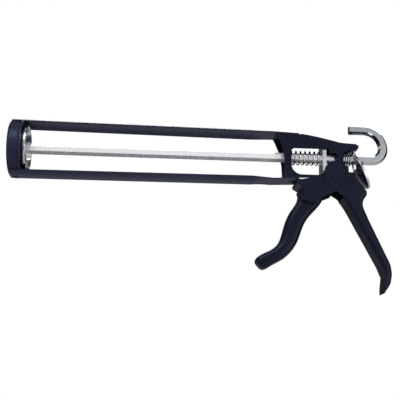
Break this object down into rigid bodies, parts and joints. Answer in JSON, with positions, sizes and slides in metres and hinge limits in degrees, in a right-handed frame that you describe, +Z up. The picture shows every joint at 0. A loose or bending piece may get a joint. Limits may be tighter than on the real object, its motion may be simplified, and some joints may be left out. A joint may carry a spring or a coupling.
{
  "type": "caulking gun",
  "caption": "Hand-operated skeleton caulking gun: front cup, cradle strips, hexagonal push rod with pull hook, trigger, fixed handle and thumb release.",
  "frame": {"origin": "where the push rod's axis meets the front face of the cup", "axes": "+X along the push rod towards the pull hook, +Y across the gun, +Z up, away from the handle"},
  "size_m": [0.3467, 0.0542, 0.1574],
  "materials": {
    "navy_paint": "semi-gloss dark navy enamel",
    "slate_paint": "smooth dark slate-blue enamel",
    "zinc_steel": "bright zinc plate, polished",
    "spring_steel": "bright drawn wire",
    "release_zinc": "satin zinc plate with a cool tint"
  },
  "bodies": {
    "frame": {"front_cup": "navy_paint", "cradle_strip_top": "navy_paint", "cradle_strip_bottom": "navy_paint", "body_handle": "navy_paint", "front_guide": "navy_paint", "rear_guide": "navy_paint", "cup_rivet_top": "navy_paint", "cup_rivet_bottom": "navy_paint", "body_rivet_top": "navy_paint", "body_rivet_bottom": "navy_paint", "spring_seat": "zinc_steel", "drive_spring": "spring_steel", "release_spring": "spring_steel", "trigger_rivet": "slate_paint"},
    "push_rod": {"hex_rod": "zinc_steel", "piston_plate": "zinc_steel", "piston_washer": "zinc_steel", "rod_nut": "zinc_steel"},
    "trigger": {"trigger": "slate_paint", "push_pin": "slate_paint", "trigger_washer_near": "slate_paint", "trigger_washer_far": "slate_paint"},
    "drive_plate": {"drive_plate": "zinc_steel"},
    "release": {"release_plate": "release_zinc"}
  },
  "joints": [
    {"name": "rod_slide", "type": "slide", "parent": "frame", "child": "push_rod", "axis": [1, 0, 0], "range_m": [0, 0.205]},
    {"name": "trigger_squeeze", "type": "hinge", "parent": "frame", "child": "trigger", "pos_m": [0.2887, 0, -0.0227], "axis": [0, -1, 0], "range_deg": [0, 32], "stiffness_Nm_per_rad": 0.6, "springref_deg": -20.05},
    {"name": "drive_stroke", "type": "slide", "parent": "frame", "child": "drive_plate", "axis": [-1, 0, 0], "range_m": [0, 0.007], "deforming": ["drive_spring"]},
    {"name": "release_tilt", "type": "hinge", "parent": "frame", "child": "release", "pos_m": [0.3112, 0, 0.0114], "axis": [0, 1, 0], "range_deg": [0, 4], "stiffness_Nm_per_rad": 0.5, "springref_deg": -11.46, "deforming": ["release_spring"]}
  ],
  "couplings": [
    {"joint": "drive_stroke", "follows": "trigger_squeeze", "m_per_rad": 0.0124}
  ]
}
